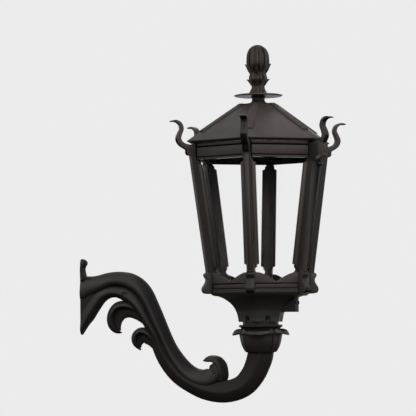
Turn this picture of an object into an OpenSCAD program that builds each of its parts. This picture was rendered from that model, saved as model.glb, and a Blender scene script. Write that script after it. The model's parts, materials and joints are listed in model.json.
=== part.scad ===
// Hexagonal street lantern on a cast scroll bracket.
// Millimetres. Origin: centre of the bracket's flat wall face.
// +X runs out from the wall to the lantern, +Z is up.

/* [Place] */
// distance from the wall face to the lantern axis
reach = 440; // [380:1:560]
// height of the bracket's wall face
wall_h = 182; // [150:1:220]
// width of the bracket's wall foot
foot_w = 46; // [36:1:60]
// depth of the wall foot, out to the arm casting
foot_d = 40; // [36:1:60]

/* [Tenon] */
// outer radius of the tenon pipe the lantern sits on
tenon_r = 38.1; // [30:0.1:45]
// wall of the tenon pipe
tenon_t = 5; // [3:0.5:8]
// radial running clearance of the lantern on its tenon
tenon_gap = 0.06; // [0.02:0.01:0.1]
// gap between parts that pass each other
pass_gap = 0.3; // [0.2:0.05:1]

/* [Lantern base] */
// height of the lower mouth of the hexagonal neck
z_neck = -66; // [-80:1:-50]
// height of the underside of the bottom plate
z_plate = -4; // [-10:1:0]
// height of the floor inside the lantern
z_floor = 7; // [4:1:12]
// height of the top of the bottom rail
z_rail = 25; // [18:1:32]
// corner radius of the bottom rail
rail_r = 129; // [110:1:150]
// height of the gallery's mounds beside the posts
z_mound = 50; // [44:1:66]
// height of the gallery's dip in the middle of a side
z_dip = 28; // [27:1:45]

/* [Frame] */
// how far the frame's corners stand inside the bottom rail's
frame_in = 5; // [3:0.5:9]
// height where frame_in is measured
frame_z0 = 45; // [30:1:60]
// how far the frame's corners stand inside the frieze's, under the rim
frame_under = 2.2; // [1:0.1:5]
// height of the lower edge of the rim
z_rim = 320.5; // [290:0.5:340]
// width of the flat rib outside each corner
rib_w = 18; // [12:1:24]
// how far the rib stands outside the corner
rib_out = 9.5; // [5:0.5:14]
// half width of the corner core, measured across
core_w = 11.5; // [9:0.5:14]
// half width out to the edge of the glass strips
strip_w = 17; // [14:0.5:22]
// thickness of a window pane
glass_t = 3; // [2:0.5:5]

/* [Rim] */
// height of the top of the rim
z_rim_top = 359.3; // [345:0.1:370]
// corner radius of the frieze
frieze_r = 168.2; // [155:0.1:180]
// width of the rim, from the frieze's corner in to the opening's
rim_t = 20.6; // [17:0.1:26]

/* [Roof] */
// height of the eave above the top of the rim
eave_h = 6.7; // [6:0.1:9]
// how far the eave's corners stand outside the frieze's
eave_out = 14.2; // [12:0.1:20]
// height of the flat on top of the roof
z_top = 457; // [430:1:480]
// corner radius of the flat on top of the roof
top_r = 45.7; // [35:0.1:60]
// thickness of the roof shell
shell_t = 3.5; // [2:0.5:6]
// height of the finial above the flat
finial_h = 144; // [130:1:160]

/* [Horns] */
// width of the horn ribbons
horn_w = 15.5; // [10:0.5:20]

/* [Hinge and latch] */
// how far the roof's hinge axis lies inside the frieze's corner radius
hinge_in = 3.2; // [0:0.1:5]
// how far the roof's hinge axis lies below the top of the rim
hinge_down = 2.3; // [1:0.1:4]
// radius of the hinge barrel
barrel_r = 5; // [4:0.5:6]
// radius of the hinge pin
pin_r = 2; // [1.5:0.1:3]
// radial running clearance of the roof knuckle on its pin
pin_gap = 0.05; // [0.02:0.01:0.1]
// how far the latch screw stands outside the frieze's corner
latch_out = 17.8; // [16:0.1:21]
// radius of the latch screw's stem
latch_r = 2.5; // [2:0.1:4]
// radial running clearance of the latch screw
latch_gap = 0.05; // [0.02:0.01:0.1]

/* [Hidden] */

iron = [0.20, 0.19, 0.18];
steel = [0.55, 0.55, 0.56];
side = sqrt(3) / 2;
frame_r0 = rail_r - frame_in;
frame_r1 = frieze_r - frame_under;
rim_in_r = frieze_r - rim_t;
z_eave = z_rim_top + eave_h;
eave_r = frieze_r + eave_out;
hinge_x = frieze_r - hinge_in;
hinge_z = z_rim_top - hinge_down;
latch_x = frieze_r + latch_out;
z_cup = -140;
z_cup_top = -79;
z_seat = -73;
z_tenon = -20;
hinge_turn = 120;
latch_turn = -30;
slope = (frame_r1 - frame_r0) / (z_rim - frame_z0);
hip = (eave_r - top_r) / (z_top - z_eave);

// corner radius of the window frame at height z
function frame_at(z) = frame_r0 + slope * (z - frame_z0);

// corner radius of the roof's outer skin at height z
function roof_at(z) = top_r + hip * (z_top - z);

// spline through the rows of p, at t rows along
function cr(p, t) =
  let (n = len(p) - 1, i = min(floor(t), n - 1), u = t - i,
       a = p[max(i - 1, 0)], b = p[i], c = p[i + 1], d = p[min(i + 2, n)])
  0.5 * (2 * b + (c - a) * u + (2 * a - 5 * b + 4 * c - d) * u * u
         + (3 * b - 3 * c + d - a) * u * u * u);

// unit normal, to the left of travel, of the centreline rows of p at t
function left_of(p, t) =
  let (e = 0.01, n = len(p) - 1, a = cr(p, max(t - e, 0)), b = cr(p, min(t + e, n)),
       d = [b[0] - a[0], b[1] - a[1]]) [-d[1], d[0]] / norm(d);

// outline of a ribbon whose rows are [x, z, thickness]
function ribbon(p, m) =
  let (n = len(p) - 1, s = [for (i = [0:m]) n * i / m])
  concat([for (t = s) let (q = cr(p, t), v = left_of(p, t)) [q[0], q[1]] + v * q[2] / 2],
         [for (i = [m:-1:0]) let (q = cr(p, s[i]), v = left_of(p, s[i])) [q[0], q[1]] - v * q[2] / 2]);

// cast limb: an eight-sided section carried along rows of [x, z, thickness, width]
module limb(p, m) {
  n = len(p) - 1;
  sec = [[1, 0.32], [0.62, 1], [-0.62, 1], [-1, 0.32], [-1, -0.32], [-0.62, -1], [0.62, -1], [1, -0.32]];
  k = len(sec);
  pts = [for (i = [0:m]) let (t = n * i / m, q = cr(p, t), v = left_of(p, t))
         for (s = sec) [q[0] + v[0] * s[0] * q[2] / 2, s[1] * q[3] / 2, q[1] + v[1] * s[0] * q[2] / 2]];
  sides = [for (i = [0:m - 1]) for (j = [0:k - 1]) let (a = i * k + j, b = i * k + (j + 1) % k)
           each [[a, b, b + k], [a, b + k, a + k]]];
  lids = [[for (j = [k - 1:-1:0]) j], [for (j = [0:k - 1]) m * k + j]];
  polyhedron(points = pts, faces = concat(sides, lids), convexity = 10);
}

module at_lantern() {
  translate([reach, 0, 0]) children();
}

module each_corner() {
  for (k = [0:5]) rotate(30 + 60 * k) children();
}

module each_face() {
  for (k = [0:5]) rotate(60 * k) children();
}

// hexagonal solid with corner radius ra at height za and rb at height zb
module hexa(za, ra, zb, rb) {
  translate([0, 0, za]) rotate(30) cylinder(h = zb - za, r1 = ra, r2 = rb, $fn = 6);
}

// hexagonal solid through rows of [height, corner radius]
module hex_loft(rows) {
  m = len(rows) - 1;
  pts = [for (q = rows) for (k = [0:5]) [q[1] * cos(30 + 60 * k), q[1] * sin(30 + 60 * k), q[0]]];
  sides = [for (i = [0:m - 1]) for (k = [0:5]) let (a = 6 * i + k, b = 6 * i + (k + 1) % 6)
           [a, a + 6, b + 6, b]];
  lids = [[0, 1, 2, 3, 4, 5], [for (k = [5:-1:0]) 6 * m + k]];
  polyhedron(points = pts, faces = concat(sides, lids), convexity = 6);
}

// a plate w wide whose outline lies in the plane of radius and height
module radial(w, pts) {
  rotate([90, 0, 0]) linear_extrude(w, center = true, convexity = 8) polygon(pts);
}

// ---- bracket ----

// outline of the foot: a leaf that curls off the wall above, a long taper below
foot_line = [[0, wall_h / 2], [3, 90.5], [7.5, 86], [9, 81.5], [6.5, 76.5], [3.5, 71], [2.6, 64],
             [4.5, 56.5], [9.5, 51], [17, 48], [24, 47], [foot_d, 49], [foot_d, -31], [32, -39.5],
             [24, -50], [16, -62], [9, -72.5], [3, -81], [0, -wall_h / 2]];

// tapped holes for the studs in the wall
stud_r = 5.1;
stud_top = 30;
stud_span = 80;
stud_l = 20;

module wall_foot() {
  color(iron) difference() {
    radial(foot_w, foot_line);
    for (z = [stud_top, stud_top - stud_span])
      translate([-1, 0, z]) rotate([0, 90, 0]) cylinder(h = stud_l + 1, r = stud_r, $fn = 48);
  }
}

// centreline of the S-shaped arm: x, z, depth in the plane, width across
arm_rows = [[8, -2, 88, 42], [foot_d, 9, 80, 45], [70, 20.5, 71, 54], [100, 25, 67, 56],
            [128, 16, 62, 56], [149, -7, 57, 56], [165, -38, 54, 56], [180, -73, 53, 56],
            [198, -114, 54, 56], [230, -166, 54, 56], [268, -202, 56, 57], [311, -225, 56, 58],
            [355, -232, 54, 58], [395, -220, 54, 59], [419.5, -193, 56, 60], [432, -167, 58, 61],
            [438, -148, 60, 62], [440, z_cup + 10, 60, 62]];
// hanging leaf under the arch, then the leaf behind it, then the volute at the bend
leaf_a = [[112, -4, 34, 40], [98, -22, 40, 44], [85, -42, 42, 44], [80, -61, 35, 42], [84, -76, 24, 32],
          [91, -84, 12, 22], [98, -88, 3, 12]];
leaf_b = [[182, -80, 50, 40], [160, -93, 50, 44], [143, -104, 40, 44], [138, -115, 27, 38],
          [140, -123, 15, 26], [145, -130, 3, 12]];
leaf_c = [[155, -28, 54, 36], [138, -26, 58, 42], [118, -24, 54, 44], [100, -22, 36, 40], [88, -20, 16, 28]];
leaf_d = [[354, -222, 40, 44], [348, -190, 30, 44], [338, -166, 30, 42], [324, -157, 23, 36],
          [312, -154, 12, 24], [300, -156, 2.5, 12]];

module arm_body() {
  limb(arm_rows, 60);
}

module bracket_arm() {
  color(iron) difference() {
    arm_body();
    translate([-50, -100, -300]) cube([50 + foot_d, 200, 600]);
    translate([reach - 100, -100, z_cup]) cube([200, 200, 100]);
    for (y = [-1, 1]) translate([111, y * 31, 6]) sphere(r = 6, $fn = 24);
  }
}

module arch_leaf() {
  color(iron) difference() {
    union() {
      limb(leaf_a, 20);
      limb(leaf_c, 14);
    }
    arm_body();
  }
}

module hanging_leaf() {
  color(iron) difference() {
    limb(leaf_b, 20);
    limb(leaf_c, 14);
    arm_body();
  }
}

module volute() {
  color(iron) difference() {
    union() {
      limb(leaf_d, 22);
      translate([331, 0, -179]) rotate([90, 0, 0]) cylinder(h = 46, r = 23, center = true, $fn = 36);
    }
    arm_body();
    for (y = [-1, 1]) translate([328, y * 26, -186]) sphere(r = 7, $fn = 24);
  }
}

cup_line = [[0, z_cup], [30, z_cup], [36, -136], [41, -129], [44.5, -121], [46, -111], [46.5, -103],
            [46, -96], [45.5, -90], [45.5, -84], [49, z_cup_top], [0, z_cup_top]];

module cup_body() {
  rotate_extrude($fn = 96) polygon(cup_line);
}

module capital_cup() {
  color(iron) at_lantern() difference() {
    cup_body();
    translate([0, 0, -120]) cylinder(h = 60, r = tenon_r, $fn = 96);
  }
}

big_leaf = [[34, -138.5, 4, 14], [40, -130.5, 5, 24], [45.5, -120, 6, 31], [47.5, -108, 8, 35],
            [52, -97, 12, 33], [60.5, -92.5, 10, 26], [66.5, -94.5, 5.5, 16], [69, -99, 2.5, 8]];
small_leaf = [[34, -138, 4, 10], [41, -129.5, 4.5, 18], [45.5, -118, 5, 24], [47, -106, 7, 26],
              [51.5, -97, 10, 22], [57.5, -94.5, 6, 14], [60.5, -97.5, 2.5, 7]];

module capital_leaves() {
  color(iron) at_lantern() difference() {
    for (k = [0:3]) {
      rotate(90 * k) limb(big_leaf, 12);
      rotate(45 + 90 * k) limb(small_leaf, 10);
    }
    cup_body();
    translate([0, 0, -100]) cylinder(h = 30, r = 44, $fn = 96);
  }
}

module capital_rim() {
  color(iron) at_lantern() rotate_extrude($fn = 96)
    polygon([[tenon_r, z_cup_top], [50, z_cup_top], [52.4, -77.5], [52.4, -74.5], [51, z_seat],
             [43, z_seat], [43, z_neck - pass_gap], [tenon_r, z_neck - pass_gap]]);
}

module tenon() {
  color(steel) at_lantern() translate([0, 0, -120]) difference() {
    cylinder(h = z_tenon + 120, r = tenon_r, $fn = 96);
    translate([0, 0, -1]) cylinder(h = z_tenon + 122, r = tenon_r - tenon_t, $fn = 96);
  }
}

// ---- lantern base ----

// corner radii of the bell's neck and of its upper edge, and its rows as [share of height, share of flare]
neck_r = tenon_r + 17.9;
bell_r = rail_r - 18;
bell_curve = [[0, 0], [0.145, 0.027], [0.355, 0.091], [0.548, 0.2], [0.726, 0.382], [0.871, 0.618],
              [0.952, 0.818], [1, 1]];
bell_rows = [for (q = bell_curve) [z_neck + q[0] * (z_plate - z_neck), neck_r + q[1] * (bell_r - neck_r)]];
bell_steps = 14;

module bell_body() {
  n = len(bell_rows) - 1;
  hex_loft([for (i = [0:bell_steps]) cr(bell_rows, n * i / bell_steps)]);
}

screw_z = z_neck + 8;
screw_r = 4;
arch_r = 6.8;

module neck_bell() {
  color(iron) at_lantern() difference() {
    bell_body();
    translate([0, 0, z_neck - 1]) cylinder(h = z_tenon - z_neck + 1.3, r = tenon_r + tenon_gap, $fn = 96);
    translate([0, 0, z_tenon - 1]) cylinder(h = 40, r = 22, $fn = 64);
    each_face() {
      translate([44, 0, screw_z]) rotate([0, 90, 0]) cylinder(h = 20, r = arch_r, $fn = 48);
      translate([44, -arch_r, z_neck - 1]) cube([20, 2 * arch_r, screw_z - z_neck + 1]);
      translate([30, 0, screw_z]) rotate([0, 90, 0]) cylinder(h = 20, r = screw_r, $fn = 48);
    }
    translate([60, 0, -21]) rotate([0, 90, 0]) cylinder(h = 60, r = 8, center = true, $fn = 48);
  }
}

module set_screws() {
  color(steel) at_lantern() each_face() difference() {
    translate([tenon_r + pass_gap, 0, screw_z]) rotate([0, 90, 0]) cylinder(h = 9, r = screw_r, $fn = 48);
    translate([tenon_r + 5, 0, screw_z]) rotate([0, 90, 0]) cylinder(h = 9, r = 2.3, $fn = 6);
  }
}

box_x = rail_r - 41;
box_w = 60;
box_z = z_plate - 39;
wall_t = 3;
cover_t = 2.5;
boss_y = box_w / 2 - 8.5;
boss_z = box_z + 22;

module wiring_box() {
  color(iron) at_lantern() difference() {
    translate([50, -box_w / 2, box_z]) cube([box_x - cover_t - 50, box_w, z_plate - box_z]);
    translate([40, wall_t - box_w / 2, box_z + wall_t])
      cube([box_x - 40, box_w - 2 * wall_t, z_plate - box_z - 2 * wall_t]);
    bell_body();
  }
  color(iron) at_lantern() for (y = [-1, 1]) difference() {
    translate([box_x - 12, y * boss_y - 5.5, boss_z - 5]) cube([12 - cover_t, 11, 10]);
    translate([box_x - 13, y * boss_y, boss_z]) rotate([0, 90, 0]) cylinder(h = 30, r = 2, $fn = 32);
    bell_body();
  }
}

module box_cover() {
  color(iron) at_lantern() difference() {
    translate([box_x - cover_t, -box_w / 2, box_z]) cube([cover_t, box_w, z_plate - box_z]);
    for (y = [-1, 1]) translate([box_x - 8, y * boss_y, boss_z])
      rotate([0, 90, 0]) cylinder(h = 30, r = 2, $fn = 32);
    bell_body();
  }
}

module cover_screws() {
  color(steel) at_lantern() for (y = [-1, 1]) translate([0, y * boss_y, boss_z]) difference() {
    union() {
      translate([box_x - 6, 0, 0]) rotate([0, 90, 0]) cylinder(h = 6, r = 2, $fn = 32);
      translate([box_x, 0, 0]) rotate([0, 90, 0]) cylinder(h = 2.4, r = 4, $fn = 32);
    }
    translate([box_x + 1.2, -0.6, -5]) cube([3, 1.2, 10]);
  }
}

module terminal_block() {
  color([0.85, 0.85, 0.82]) at_lantern() translate([box_x - 11.5, 0, box_z + wall_t]) difference() {
    translate([-4, -12, 0]) cube([12, 24, 16]);
    for (y = [-8, 0, 8]) {
      translate([2, y, 9]) cylinder(h = 8, r = 2.2, $fn = 24);
      translate([-7, y, 5]) rotate([0, 90, 0]) cylinder(h = 16, r = 1.8, $fn = 24);
    }
  }
}

module bottom_plate() {
  color(iron) at_lantern() difference() {
    hex_loft([[z_plate, rail_r - 11], [z_plate + 2, rail_r - 7], [z_plate + 4.5, rail_r - 3],
              [z_plate + 7, rail_r], [z_floor, rail_r]]);
    translate([0, 0, z_plate - 6]) cylinder(h = 30, r = 22, $fn = 64);
  }
}

rail_t = 7;

module bottom_rail() {
  color(iron) at_lantern() difference() {
    hex_loft([[z_floor, rail_r - 1.5], [z_floor + 1.5, rail_r - 1.5], [z_floor + 2.5, rail_r - 0.4],
              [z_rail - 3, rail_r], [z_rail - 2.2, rail_r + 1.6], [z_rail, rail_r + 1.6]]);
    hexa(z_floor - 1, rail_r - rail_t, z_rail + 1, rail_r - rail_t);
    each_face() translate([rail_r * side - 1.6, 14.5 - rail_r / 2, z_floor + 4.5])
      cube([10, rail_r - 29, z_rail - z_floor - 9.5]);
  }
}

// one side's gallery line: mounds at the posts, a dip in the middle
mound_a = rail_r / 2 - 14.5;
mound_rise = z_mound + 0.8 - z_dip;
function dip_at(y) = z_dip + mound_rise * (1 - pow(1 - abs(y) / mound_a, 1.5));

module gallery() {
  color(iron) at_lantern() difference() {
    hexa(z_rail, rail_r + 0.7, z_mound, rail_r + 0.7);
    hexa(z_rail - 1, rail_r - 2.8, z_mound + 1, rail_r - 2.8);
    each_face() translate([rail_r * side - 8, 0, 0]) rotate([90, 0, 90]) linear_extrude(20)
      polygon(concat([for (i = [-10:10]) [mound_a * i / 10, dip_at(mound_a * i / 10)]],
                     [[mound_a, z_mound + 20], [-mound_a, z_mound + 20]]));
  }
}

// outline of a corner foot, as [distance outside the rail's corner, height above the floor]
foot_rows = [[-9, -6], [3, -6], [13, -4.5], [17, 0], [18, 5.5], [16, 11], [11.5, 17], [8.5, 23],
             [8, 29], [10.5, 33], [13, 37], [12.5, 41.5], [8, 44.5], [-9, 44.5]];

module corner_feet() {
  color(iron) at_lantern() difference() {
    each_corner() translate([rail_r, 0, z_floor]) radial(rib_w + 1, foot_rows);
    hexa(z_floor - 20, rail_r + 1.6, z_floor + 60, rail_r + 1.6);
  }
}

// ---- window frame ----

module frame_solid(inset) {
  hexa(z_floor, frame_at(z_floor) - inset, z_rim, frame_at(z_rim) - inset);
}

rib_z0 = z_floor + 44.5;
rib_z1 = z_rim + 10.5;

module corner_posts() {
  color(iron) at_lantern() each_corner() difference() {
    union() {
      difference() {
        intersection() {
          rotate(-30) frame_solid(0);
          translate([0, -core_w, 0]) cube([300, 2 * core_w, 400]);
        }
        for (y = [-1, 1]) for (z = [strip_z0 - notch_r, strip_z1 + notch_r])
          translate([80, y * (core_w + 3.5), z]) rotate([0, 90, 0]) cylinder(h = 120, r = notch_r, $fn = 32);
      }
      radial(rib_w, [[frame_at(rib_z0) - 3, rib_z0], [frame_at(rib_z0) + rib_out + 1, rib_z0],
                     [frame_at(rib_z1) + rib_out - 2.5, rib_z1], [frame_at(rib_z1) - 10, rib_z1]]);
    }
    rotate(-30) frame_solid(7);
    rotate(-30) hexa(z_rim, frieze_r, z_rim_top + 40, frieze_r);
    rotate(-30) difference() {
      hexa(z_rail, rail_r + 0.7, z_mound, rail_r + 0.7);
      hexa(z_rail - 1, rail_r - 2.8, z_mound + 1, rail_r - 2.8);
    }
  }
}

strip_z0 = z_rail + 38;
strip_z1 = z_rim - 6;
notch_r = 7;

module glass_strips() {
  color(iron) at_lantern() each_corner() difference() {
    intersection() {
      rotate(-30) frame_solid(1);
      translate([0, -strip_w, strip_z0]) cube([300, 2 * strip_w, strip_z1 - strip_z0]);
    }
    rotate(-30) frame_solid(4);
    translate([0, -core_w, 0]) cube([300, 2 * core_w, 400]);
    for (y = [-1, 1]) for (z = [strip_z0, strip_z1])
      translate([80, y * strip_w, z]) rotate([0, 90, 0]) cylinder(h = 120, r = notch_r, $fn = 32);
  }
}

pane_z1 = z_rim - 0.5;
pane_in = 17.3;

module glass_panes() {
  color([0.8, 0.85, 0.86, 0.25]) at_lantern() each_face() intersection() {
    difference() {
      frame_solid(4);
      frame_solid(4 + glass_t / side);
    }
    rotate([90, 0, 90]) linear_extrude(200)
      polygon([[pane_in - frame_at(z_floor) / 2, z_floor], [frame_at(z_floor) / 2 - pane_in, z_floor],
               [frame_at(pane_z1) / 2 - pane_in, pane_z1], [pane_in - frame_at(pane_z1) / 2, pane_z1]]);
  }
}

// ---- rim ----

gasket_r = frieze_r - 7.2;
gasket_w = 7;

module gasket_ring(over) {
  difference() {
    hexa(z_rim_top - 1.5, gasket_r, z_rim_top + over, gasket_r);
    hexa(z_rim_top - 2, gasket_r - gasket_w, z_rim_top + over + 1, gasket_r - gasket_w);
  }
}

module rim_frieze() {
  color(iron) at_lantern() difference() {
    hex_loft([[z_rim, frieze_r - 2], [z_rim + 2.5, frieze_r], [z_rim + 5, frieze_r],
              [z_rim + 6, frieze_r - 1.4], [z_rim + 7.5, frieze_r - 1.4], [z_rim + 8.3, frieze_r - 0.3],
              [z_rim_top - 4.8, frieze_r - 0.3], [z_rim_top - 4.1, frieze_r], [z_rim_top, frieze_r]]);
    hexa(z_rim - 1, rim_in_r, z_rim_top + 1, rim_in_r);
    each_face() translate([frieze_r * side - 2.2, 18 - frieze_r / 2, z_rim + 11.5])
      cube([10, frieze_r - 36, z_rim_top - z_rim - 19.8]);
    gasket_ring(1);
  }
}

module rim_gasket() {
  color([0.1, 0.1, 0.1]) at_lantern() gasket_ring(0);
}

// ---- horns ----

// rows of a horn and of the scroll under it, from the corner of the rim's top
horn_rows = [[3.8, -10.3, 14], [13.8, -8.3, 13], [22.8, -4.8, 11], [31.3, 1.2, 10.5], [35.8, 11.7, 10.5],
             [32.3, 23.7, 9], [27.8, 34.7, 7.5], [31.3, 46.7, 6.5], [41.8, 53.2, 5], [54.8, 52.7, 2.4]];
horn_foot = [[-8.2, -28.3], [10.8, -28.3], [14.3, -26.3], [16.8, -21.8], [16.3, -16.8], [18.3, -11.8],
             [11.8, -4.3], [-8.2, -2.3]];

module at_rim() {
  translate([frieze_r, 0, z_rim_top]) children();
}

module horn() {
  at_rim() {
    radial(horn_w, ribbon(horn_rows, 36));
    radial(horn_w, horn_foot);
  }
}

module latch_bore(r) {
  translate([latch_x, 0, z_rim - 20.5]) cylinder(h = 70, r = r, $fn = 48);
}

// the roof's lug, and its clearance around the latch screw and in the horn's pocket
lug_w = 14;
lug_t = 5;
lug_gap = 1.1;

module horns() {
  color(iron) at_lantern() difference() {
    each_corner() horn();
    hexa(z_rim - 20, frieze_r, z_rim_top + 10, frieze_r);
    rotate(latch_turn) {
      latch_bore(latch_r + latch_gap);
      translate([latch_x - 16 - lug_gap, -lug_w / 2 - lug_gap, z_eave - lug_t - 2 * pass_gap])
        cube([22.5 + 2 * lug_gap, lug_w + 2 * lug_gap, lug_t + 2]);
    }
  }
}

// ---- latch ----

// outline of the latch housing, from the corner of the rim's top
housing_rows = [[-8.2, -46.3], [15.8, -46.3], [34.8, -36.3], [34.8, -7.3], [30.8, -5.3], [-8.2, -5.3]];

module latch_housing() {
  color(iron) at_lantern() rotate(latch_turn) difference() {
    at_rim() radial(21, housing_rows);
    rotate(-latch_turn) hexa(z_rim - 20, frieze_r + 0.4, z_rim_top + 10, frieze_r + 0.4);
    radial(rib_w, [[frieze_r - 18, z_rim - 20.5], [frame_at(z_rim - 20.5) + rib_out + 1, z_rim - 20.5],
                   [frame_at(rib_z1) + rib_out - 2.5, rib_z1], [frieze_r - 18, rib_z1]]);
    horn();
    latch_bore(latch_r + latch_gap);
  }
}

ball_r = 7.6;
ball_z = z_rim_top - 54.8;

module latch_screw() {
  color(steel) at_lantern() rotate(latch_turn) translate([latch_x, 0, 0]) {
    translate([0, 0, ball_z]) cylinder(h = z_eave - ball_z, r = latch_r, $fn = 48);
    translate([0, 0, ball_z]) sphere(r = ball_r, $fn = 48);
  }
}

// ---- roof hinge ----

module at_hinge() {
  at_lantern() rotate(hinge_turn) translate([hinge_x, 0, hinge_z]) children();
}

module barrel(y0, y1, r) {
  translate([0, y1, 0]) rotate([90, 0, 0]) cylinder(h = y1 - y0, r = r, $fn = 40);
}

leaf_x = frieze_r * side - hinge_x;
knuckle = 7.7;

module hinge_bracket() {
  color(steel) at_hinge() difference() {
    union() {
      translate([leaf_x, -24, -24]) cube([4, 48, 25]);
      for (y = [-1, 1]) {
        translate([leaf_x, y * 15 - 7, -5]) cube([-leaf_x, 14, 4.5]);
        barrel(y * 15 - 7, y * 15 + 7, barrel_r);
      }
    }
    barrel(-30, 30, pin_r);
    translate([leaf_x + 4, -knuckle - pass_gap, -30]) cube([60, 2 * (knuckle + pass_gap), 60]);
  }
}

module hinge_pin() {
  color(steel) at_hinge() barrel(-23, 23, pin_r);
}

module hinge_leaf() {
  color(steel) at_hinge() difference() {
    union() {
      barrel(-knuckle, knuckle, barrel_r);
      translate([eave_r * side - hinge_x, -knuckle, 4]) cube([4, 2 * knuckle, z_eave - hinge_z - 4.5]);
      translate([eave_r * side - hinge_x, -knuckle, 2.8]) cube([hinge_x - eave_r * side, 2 * knuckle, 2.2]);
    }
    barrel(-30, 30, pin_r + pin_gap);
  }
}

// ---- roof ----

z_roof = z_rim_top + pass_gap;
tray_r = frieze_r - 4.2;

roof_rows = [[z_roof, eave_r - 8.9], [z_eave - 3.5, eave_r - 4.4], [z_eave - 2.2, eave_r],
             [z_eave, eave_r], [z_top, top_r]];

module roof_shell() {
  color(iron) at_lantern() difference() {
    hex_loft(roof_rows);
    hex_loft([[z_roof - 1, tray_r], [z_eave, tray_r],
              [z_top - shell_t, roof_at(z_top - shell_t) - shell_t * 1.25]]);
  }
}

cap_z = z_eave + 23;

module hip_caps() {
  color(iron) at_lantern() each_corner() difference() {
    intersection() {
      rotate(-30) hexa(cap_z, roof_at(cap_z) + 2.4, z_top - 1, roof_at(z_top - 1) + 2.4);
      translate([0, -9.5, 0]) cube([300, 19, 600]);
    }
    rotate(-30) hexa(cap_z - 1, roof_at(cap_z - 1), z_top, top_r);
  }
}

module catch_lug() {
  color(iron) at_lantern() rotate(latch_turn) difference() {
    translate([latch_x - 16, -lug_w / 2, z_eave - lug_t]) cube([22.5, lug_w, lug_t]);
    rotate(-latch_turn) hex_loft(roof_rows);
    translate([latch_x - 17, -latch_r - lug_gap, z_eave - lug_t - 1])
      cube([24.5, 2 * (latch_r + lug_gap), lug_t + 2]);
  }
}

// the finial's parts stand on the flat: stem, then disc, then bulb
stem_h = 18.5;
disc_h = 6;
bulb_z = stem_h + disc_h;

module at_flat() {
  at_lantern() translate([0, 0, z_top]) children();
}

module finial_stem() {
  color(iron) at_flat() rotate_extrude($fn = 96)
    polygon([[0, 0], [24, 0], [24, 2.5], [18, 4.5], [15.5, 8], [15.5, stem_h - 3.5], [18.5, stem_h],
             [0, stem_h]]);
}

module finial_disc() {
  color(iron) at_flat() translate([0, 0, stem_h]) rotate_extrude($fn = 96)
    polygon([[0, 0], [55, 0], [58.5, 1.5], [58.5, 3], [50, 5], [0, disc_h]]);
}

bulb_rows = [[bulb_z, 23.5], [28, 22], [34, 16.5], [42, 14], [50, 17], [57, 21], [63, 21], [70, 17.5],
             [77, 20], [88, 25], [99, 27], [111, 27], [124, 24.5], [132, 20.5], [139, 13],
             [finial_h - 1, 5], [finial_h, 0]];
bulb_steps = 45;

module bulb_body() {
  n = len(bulb_rows) - 1;
  rotate_extrude($fn = 72)
    polygon(concat([[0, bulb_z]], [for (i = [0:bulb_steps]) let (q = cr(bulb_rows, n * i / bulb_steps))
                                   [max(0, q[1]), q[0]]]));
}

module finial_bulb() {
  color(iron) at_flat() difference() {
    bulb_body();
    each_corner() for (a = [-12, 12]) rotate(a) translate([33, 0, finial_h - 79])
      cylinder(h = 76, r = 7.5, $fn = 24);
  }
}

upper_leaf = [[17, 64, 5, 9], [20.5, 75, 6, 16], [25, 85, 6.5, 20], [28, 93, 5, 16], [32, 95.5, 2, 7]];
lower_leaf = [[14, 37, 4, 8], [16.5, 46, 6, 13], [21, 54, 7, 16], [25, 59, 5, 12], [28.5, 59, 2, 5]];

module finial_leaves() {
  color(iron) at_flat() difference() {
    for (k = [0:5]) {
      rotate(60 * k) limb(upper_leaf, 10);
      rotate(60 * k + 30) limb(lower_leaf, 10);
    }
    bulb_body();
  }
}

// ---- light engine under the roof ----

tray_z = z_rim_top + 1.2;
tray_t = 2.5;

module gear_tray() {
  color(steel) at_lantern() difference() {
    hexa(tray_z, tray_r, tray_z + tray_t, tray_r);
    translate([0, 0, tray_z - 10]) cylinder(h = 20, r = 60, $fn = 96);
  }
}

sink_r = frieze_r - 92.2;

module heat_sink() {
  color([0.6, 0.6, 0.62]) at_lantern() translate([0, 0, tray_z + tray_t]) {
    cylinder(h = 6, r = sink_r, $fn = 96);
    for (k = [0:17]) rotate(20 * k) translate([18, -1, 0]) cube([sink_r - 22, 2, 30]);
    cylinder(h = 30, r = 20, $fn = 64);
  }
}

module led_board() {
  color([0.9, 0.9, 0.88]) at_lantern() translate([0, 0, tray_z]) {
    cylinder(h = tray_t, r = 58, $fn = 96);
    for (k = [0:11]) rotate(30 * k) translate([42, 0, -1.2]) cube([5, 5, 3], center = true);
    for (k = [0:5]) rotate(60 * k) translate([22, 0, -1.2]) cube([5, 5, 3], center = true);
  }
}

module led_lens() {
  color([0.95, 0.95, 0.95, 0.6]) at_lantern() translate([0, 0, tray_z]) rotate_extrude($fn = 96)
    polygon([[62, 0], [68, 0], [68, -4.5], [64, -10], [52, -14], [30, -16], [0, -16.5],
             [0, -14], [30, -13.5], [51, -11.5], [61, -8], [65, -3.5], [62, -2.5]]);
}

module led_driver() {
  color([0.75, 0.75, 0.74]) at_lantern() rotate(hinge_turn + 180) translate([sink_r + 12, -32, tray_z + tray_t])
    cube([34, 64, 19]);
}

wall_foot();
bracket_arm();
arch_leaf();
hanging_leaf();
volute();
capital_cup();
capital_leaves();
capital_rim();
tenon();
neck_bell();
set_screws();
wiring_box();
box_cover();
cover_screws();
terminal_block();
bottom_plate();
bottom_rail();
gallery();
corner_feet();
corner_posts();
glass_strips();
glass_panes();
rim_frieze();
rim_gasket();
horns();
latch_housing();
hinge_bracket();
hinge_pin();
latch_screw();
roof_shell();
hip_caps();
catch_lug();
hinge_leaf();
finial_stem();
finial_disc();
finial_bulb();
finial_leaves();
gear_tray();
heat_sink();
led_board();
led_lens();
led_driver();
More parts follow.
